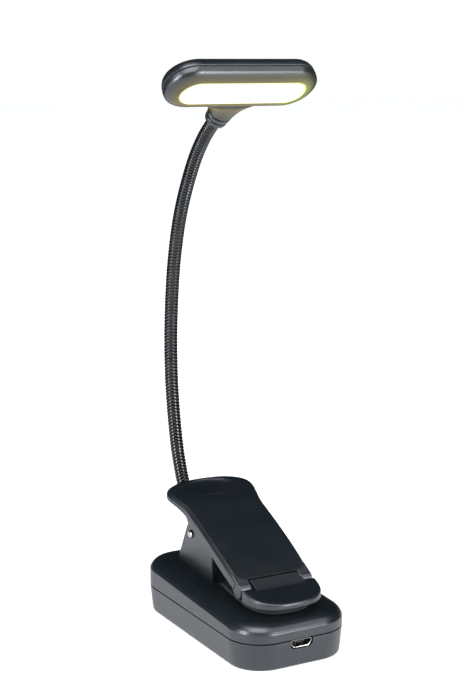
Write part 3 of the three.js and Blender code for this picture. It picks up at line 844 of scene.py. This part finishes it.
# the rocking foot: a wedge in front of the knuckle, a thin slab under it, a rubber pad below
jaw = {
    "rear": -22.7, "tip": -33.75, "half": 12.95, "low": 17.25, "slope": 0.292, "seamY": -19.5, "seamZ": 23.5,
    "crown": 0.0035, "round": 0.8, "least": 1.2, "middle": 4.5,
    "under": [(1.3, 0.0), (0.5, 0.12), (0.12, 0.45), (0, 0.9)],
    "top": [(0.0, 0.55), (0.1, 0.25), (0.35, 0.07), (0.8, 0.0), (1.4, 0.0)],
    "shares": (0.75, 0.5, 0.25, 0.06),
    "slab": {"rear": -4.3, "half": 10.4, "front": 12.3, "shoulder": -19.7, "short": 1.4},
    "slabEdge": [(0.9, 17.2), (0.15, 17.45), (0, 17.7), (0, 18.0), (0.2, 18.25)],
    "knuckleUnder": [(-30.0, 19.2), (-30.0, 17.6), (-15.8, 17.6)],
    "knuckleTop": [(-19.5, 23.48), (-23.4, 22.3)],
    "knuckleTurn": (-10, 84),
}
pad = {
    "half": 9.5, "front": 10.7, "shoulder": -19.5, "sole": 16.35, "edge": [(0, 0.35), (0.12, 0.08), (0.3, 0)],
}


def noseOutline(halfRear, halfFront, rear, shoulder, tip, steps=36):
    # a straight rear end, then a rounded nose from shoulder to shoulder around the tip
    points = [(halfRear, rear), (-halfRear, rear)] if rear - shoulder > 0.01 else []
    for i in range(steps + 1):
        angle = math.pi * i / steps
        c, s = math.cos(angle), math.sin(angle)
        points.append((
            -halfFront * math.copysign(abs(c) ** jaw["round"], c),
            shoulder - (shoulder - tip) * abs(s) ** jaw["round"],
        ))
    return points


def jawTop(x, y):
    return jaw["seamZ"] - jaw["slope"] * (jaw["seamY"] - y) - jaw["crown"] * x * x


def wedge():
    # a rounded rim band, then a top that slopes to the tip and closes on its middle
    plan = noseOutline(0, jaw["half"], jaw["rear"], jaw["rear"], jaw["tip"], 32)
    least = jaw["low"] + jaw["least"]
    rings = [[(x, y, jaw["low"] + low) for x, y in offset(plan, inset)] for inset, low in jaw["under"]]
    for inset, drop in jaw["top"]:
        rings.append([(x, y, max(jawTop(x, y) - drop, least)) for x, y in offset(plan, inset)])
    edge = rings[-1]
    centre = jaw["rear"] - jaw["middle"]
    for share in jaw["shares"]:
        plan = [(x * share, centre + (y - centre) * share) for x, y, _ in edge]
        rings.append([(x, y, jawTop(x, y)) for x, y in plan])
    return loft(rings)


def footPiece():
    thin = jaw["slab"]
    plan = noseOutline(thin["half"], thin["front"], thin["rear"], thin["shoulder"], jaw["tip"] + thin["short"])
    slab = loft([flatRing(offset(plan, inset), z) for inset, z in jaw["slabEdge"]])
    around = arc((foot["pinY"], foot["pinZ"]), foot["knuckle"], *jaw["knuckleTurn"], 14)
    outline = jaw["knuckleUnder"] + around + jaw["knuckleTop"]
    knuckle = sidePlate(outline, -foot["tongue"], foot["tongue"], 0.15)
    form = join(wedge(), slab, knuckle)
    tools = [pinHole()]
    for side in (-1, 1):
        near, far = sorted((side * foot["tongue"], side * 15))
        tools.append(rodAlongX(foot["prong"] + gap, near, far, foot["pinY"], foot["pinZ"], 56))
    return cut(form, *tools)


finishPiece(footPiece(), "clipFoot", "foot", "graphite_plastic", ["jaw_foot"], sharp=28)


def solePad():
    # its underside follows the slope of the base's roof
    low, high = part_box("jaw_pad")
    plan = noseOutline(pad["half"], pad["front"], high.y / mm, pad["shoulder"], low.y / mm)
    rings = [
        [(x, y, pad["sole"] + lift + base["rise"] * y) for x, y in offset(plan, inset)]
        for lift, inset in pad["edge"]
    ]
    return loft(rings + [flatRing(plan, high.z / mm)])


finishPiece(solePad(), "solePad", "foot", "rubber", ["jaw_pad"])
print("foot made")

# the gooseneck: route of its axis in the YZ plane, ribs, and the bends it is split between
neck = {
    "route": [
        (21.1, 12.6), (24.4, 16.3), (33.4, 26.3), (40.7, 36.2), (45.6, 47.4), (48.5, 59.6), (50.2, 72.0),
        (50.7, 84.6), (50.0, 98.6), (47.5, 115.4), (42.3, 132.1), (33.0, 148.6), (26.1, 156.6),
        (19.4, 162.0), (11.6, 167.5),
    ],
    "radius": 2.3, "groove": 0.32, "pitch": 1.12, "ringsPerRib": 10, "sides": 28, "reach": 8.6,
    "bends": 7, "first": 18.4, "apart": 23.35, "routeSteps": 60, "crestPower": 5,
    "chain": ["base", "neck_1", "neck_2", "neck_3", "neck_4", "neck_5", "neck_6", "head"],
}


def neckPoints():
    # the route in short steps, and the distance walked to each of them
    dense = [Vector((0, y, z)) for y, z in curveThrough(neck["route"], neck["routeSteps"])]
    walked = [0.0]
    for a, b in zip(dense, dense[1:]):
        walked.append(walked[-1] + (b - a).length)
    return dense, walked


neckDense, neckWalked = neckPoints()


def neckAt(distance):
    low, high = 0, len(neckWalked) - 1
    while high - low > 1:
        middle = (low + high) // 2
        low, high = (middle, high) if neckWalked[middle] <= distance else (low, middle)
    share = (distance - neckWalked[low]) / (neckWalked[high] - neckWalked[low])
    return neckDense[low].lerp(neckDense[high], share)


def ribRadius(distance, angle):
    # two wires wound together: round crests with a narrow groove between them
    phase = (distance / neck["pitch"] - angle / math.tau) % 1.0
    fromCrest = abs(phase - 0.5) * 2
    return neck["radius"] - neck["groove"] * fromCrest ** neck["crestPower"]


def hoseLength(first, last):
    step = neck["pitch"] / neck["ringsPerRib"]
    count = max(2, round((last - first) / step))
    places = [first + (last - first) * i / count for i in range(count + 1)]
    points = [neckAt(place) for place in places]
    return sweep(points, lambda i, angle: ribRadius(places[i], angle), neck["sides"])


bends = [neck["first"] + i * neck["apart"] for i in range(neck["bends"])]
cuts = [0.0] + [(a + b) / 2 for a, b in zip(bends, bends[1:])] + [neckWalked[-1]]
for i, bend in enumerate(bends):
    nodes = [f"neck_seg_{i + 1}"] + (["neck_stub"] if i == 0 else [])
    form = hoseLength(cuts[i], cuts[i + 1])
    hose = finishPiece(form, f"hose{i + 1}", None, "neck_black", nodes, sharp=50, ride=False)
    centre = neckAt(bend)
    reach = (neckAt(bend + 0.5) - neckAt(bend - 0.5)).normalized() * neck["reach"]
    (centre - reach) * mm
    (centre + reach) * mm
    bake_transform(hose)
print("gooseneck made")

# the lamp head in its own frame: pill rings are (length, width, z), the boss's are (y, half x, half z)
head = {
    "bezel": [
        (43.6, 11.4, 1.3), (43.6, 11.4, 0.22), (43.72, 11.52, 0.07), (44.0, 11.8, 0.0), (44.6, 12.3, 0.03),
        (46.6, 13.9, 0.33), (48.8, 15.75, 0.86), (50.6, 17.25, 1.5), (51.35, 17.9, 1.95), (51.68, 18.22, 2.35),
        (51.82, 18.38, 2.8), (51.95, 18.55, 3.85), (51.85, 18.45, 4.0), (51.6, 18.2, 4.05),
        (49.2, 15.8, 4.05), (48.8, 15.4, 2.6), (47.4, 14.0, 1.3),
    ],
    "cover": [
        (51.45, 18.15, 4.35), (51.75, 18.45, 4.5), (51.7, 18.4, 5.0), (51.35, 18.05, 5.75), (50.6, 17.3, 6.6),
        (49.4, 16.1, 7.3), (47.8, 14.5, 7.75), (45.6, 12.3, 8.0),
    ],
    "boss": [
        (8.2, 13.9, 2.6), (8.8, 12.7, 3.05), (9.3, 11.0, 3.35), (10.2, 8.6, 3.5), (11.4, 6.7, 3.6),
        (12.8, 5.4, 3.7), (14.2, 4.6, 3.75), (15.05, 4.3, 3.75),
    ],
    "collar": [
        (15.2, 4.2, 3.65), (15.25, 3.6, 3.3), (15.7, 3.6, 3.3), (15.75, 4.05, 3.6), (15.95, 4.15, 3.75),
        (17.2, 3.95, 3.7), (17.4, 3.85, 3.6), (17.45, 3.3, 3.1), (17.95, 3.3, 3.1), (18.0, 3.65, 3.5),
        (18.2, 3.75, 3.62), (19.2, 3.7, 3.6), (19.7, 3.55, 3.5), (19.98, 3.35, 3.3), (20.1, 3.0, 3.0),
    ],
    "bossZ": 4.0, "bossSides": 56,
    "room": [(52.3, 19.0, 4.05), (40, 8, 12)], "spare": 0.6,
    "bores": [(3.1, 10.4, 17.4), (2.6, 6, 22)],
    "coverInside": [(49.2, 15.9, 4.35), (48.6, 15.3, 5.7), (46.2, 12.9, 6.8)],
    "backZ": 8.0,
}
button = {
    "length": 8.4, "width": 4.4, "proud": 0.35, "spare": 0.3, "well": (6, 9),
    "flange": [(10.4, 6.4, 5.75), (10.4, 6.4, 6.2)],
    "edge": [(0, 0.32), (0.16, 0.14), (0.5, 0.03), (1.1, 0), (2.2, 0.1)],
}


def pillRing(length, width, z, steps=20):
    return flatRing(roundRect(length / 2, width / 2, width / 2, steps), z)


def placedInHead(piece):
    return moved(piece, Matrix.Translation(headOrigin / mm) @ Matrix.Rotation(headTurn, 4, "X"))


def bossForm():
    turns = [math.tau * i / head["bossSides"] for i in range(head["bossSides"])]
    return loft([
        [(halfX * math.cos(a), y, head["bossZ"] + halfZ * math.sin(a)) for a in turns]
        for y, halfX, halfZ in curveThrough(head["boss"], 4) + head["collar"]
    ])


def rodAlongY(radius, fromY, toY, z):
    form = turned([(radius, fromY), (radius, toY)], 40)
    return moved(form, Matrix.Translation((0, 0, z)) @ Matrix.Rotation(math.radians(-90), 4, "X"))


def bezelPiece():
    # the rim with the boss joined to it, less the cover's room and the neck's bores
    form = loft([pillRing(*row) for row in head["bezel"]], looped=True)
    spare = head["spare"]
    cover = [(length + spare, width + spare, z) for length, width, z in head["cover"][1:]]
    room = loft([pillRing(*row) for row in head["room"][:1] + cover + head["room"][1:]])
    join(form, cut(bossForm(), room))
    return placedInHead(cut(form, *(rodAlongY(*bore, head["bossZ"]) for bore in head["bores"])))


def coverPiece():
    form = loft([pillRing(*row) for row in head["cover"][::-1] + head["coverInside"]])
    length, width = (button[key] + 2 * button["spare"] for key in ("length", "width"))
    well = loft([pillRing(length, width, z, 12) for z in button["well"]])
    return placedInHead(cut(form, well))


def windowPiece():
    length, width = window["length"] - gap, window["width"] - gap
    rows = [(length - less, width - less, z) for less, z in window["edge"]] + window["flange"]
    return placedInHead(loft([pillRing(*row) for row in rows]))


def buttonPiece():
    length, width = button["length"], button["width"]
    top = head["backZ"] + button["proud"]
    rows = button["flange"] + [(length, width, button["flange"][-1][2])]
    rows += [(length - less, width - less, top - drop) for less, drop in button["edge"]]
    return placedInHead(loft([pillRing(*row, 12) for row in rows]))


finishPiece(bezelPiece(), "headBezel", "head", "graphite_plastic", ["head_bezel"], "head_graphite", sharp=30)
finishPiece(coverPiece(), "headCover", "head", "graphite_plastic", ["head_back_cover"], sharp=30)
finishPiece(windowPiece(), "lightWindow", "head", "diffuser", ["head_diffuser"], sharp=30)
finishPiece(buttonPiece(), "powerButton", "button", "rubber", ["power_button"], sharp=35)
print("head made")

# the CAD nodes that stay visible as they are
for row in frame["record"]["subparts"]:
    node = frame["nodes"][row["node"]]
    node.data.materials.clear()
    node.data.materials.append(finishes[row["material_slot"]].material)
print("kept nodes painted")

# the white sweep, the room and the lights: name, place, size, power, seen in mirrors or not
studio = {
    "floorHalf": 6.0,
    "floorDrop": 0.0002,
    "floor": (tone(0.80, 0.80, 0.80), tone(0.82, 0.82, 0.82)),
    "floorMirrored": tone(0.02, 0.02, 0.02),
    "floorLit": tone(0.96, 0.98, 1.04),
    "floorGlow": (0.15, 0.9, 0.62, 1.0),
    "lights": [
        ("leftSoftbox", (-0.85, 0.75, 0.30), (0.9, 0.5), 4, False),
        ("frontSoftbox", (0.40, -1.15, 0.32), (0.4, 0.6), 13, True),
        ("topSoftbox", (-0.36, -0.46, 1.25), (1.1, 0.9), 16, True),
        ("sideStrip", (-1.15, -0.20, 0.30), (0.3, 0.9), 16, True),
        ("rightSoftbox", (0.60, -0.68, 1.05), (0.6, 0.5), 2.2, True),
    ],
    "roomDark": tone(0.022, 0.026, 0.030),
    "roomPale": tone(1.0, 1.0, 1.0),
    "band": (0.02, 0.10, 1.0, 0.0),
    "fore": (-0.4842, -0.8749, 0.0), "left": (-0.8749, 0.4842, 0.0),
}
# what glossy surfaces see of the floor: dark close by, paler further out, with a dark card to the left
mirror = {
    "open": (0.20, 0.42, 0.30, 0.95), "card": (0.25, 0.42, 0.0, 0.85), "cardLeft": (0.38, 0.62),
    "cardFore": (-0.12, 0.15),
}


def makeFloor():
    half = studio["floorHalf"]
    mesh = bpy.data.meshes.new("floor")
    corners = [(-half, -half, 0), (half, -half, 0), (half, half, 0), (-half, half, 0)]
    mesh.from_pydata(corners, [], [(0, 1, 2, 3)])
    floor = bpy.data.objects.new("floor", mesh)
    floor.location.z = -studio["floorDrop"]
    bpy.context.scene.collection.objects.link(floor)
    finish = Finish("paleSweep", Roughness=0.9, Emission_Strength=1.0, Specular_IOR_Level=0.1)
    cloud = finish.grain(3, 2)
    spot = finish.node("ShaderNodeVectorMath", {"operation": "LENGTH"}, {0: finish.place()}, "Value")
    mirrored = finish.node("ShaderNodeLightPath", out="Is Glossy Ray")
    dot = {"operation": "DOT_PRODUCT"}
    fore, left = (
        finish.node("ShaderNodeVectorMath", dot, {0: finish.place(), 1: studio[way]}, "Value")
        for way in ("fore", "left")
    )
    card = abs(left / spot).ramp(*mirror["cardLeft"]) * (fore / spot).ramp(*mirror["cardFore"])
    dim = 1.0 - mirrored * (spot.ramp(*mirror["open"]) - spot.ramp(*mirror["card"]) * card)
    far = spot.ramp(*studio["floorGlow"]) * dim
    surface = finish.blendColour(cloud, *studio["floor"])
    finish.feed("Base Color", finish.blendColour(dim, studio["floorMirrored"], surface))
    finish.feed("Emission Color", finish.blendColour(far, black, studio["floorLit"]))
    mesh.materials.append(finish.material)


def makeLights():
    for name, place, size, power, mirrored in studio["lights"]:
        data = bpy.data.lights.new(name, "AREA")
        data.shape = "RECTANGLE"
        data.size, data.size_y = size
        data.energy = power
        lamp = bpy.data.objects.new(name, data)
        lamp.location = place
        lamp.visible_glossy = mirrored
        toward = Vector((0, 0, 0.05)) - Vector(place)
        lamp.rotation_euler = toward.to_track_quat("-Z", "Y").to_euler()
        bpy.context.scene.collection.objects.link(lamp)


def makeRoom():
    # pale to the camera and near the horizon, dark overhead so that top faces stay deep
    world = bpy.data.worlds.new("room")
    bpy.context.scene.world = world
    world.use_nodes = True
    tree = world.node_tree
    tree.nodes.clear()
    room = Finish.__new__(Finish)  # only its node makers are used: a world has no Principled shader
    room.tree = tree
    way = room.node("ShaderNodeTexCoord", out="Generated")
    height = Wire(room, room.node("ShaderNodeSeparateXYZ", {}, {0: way}).out.node.outputs[2])
    seen = room.node("ShaderNodeLightPath", out="Is Camera Ray")
    mirrored = room.node("ShaderNodeLightPath", out="Is Glossy Ray")
    pale = (height.ramp(*studio["band"]) * (1.0 - mirrored * 0.9)).atLeast(seen)
    colour = room.blendColour(pale, studio["roomDark"], studio["roomPale"])
    light = room.node("ShaderNodeBackground", {}, {"Color": colour})
    room.node("ShaderNodeOutputWorld", {}, {"Surface": light}, out=None)


bpy.context.scene.view_settings.view_transform = "Standard"
makeFloor()
makeLights()
makeRoom()
print("studio made")
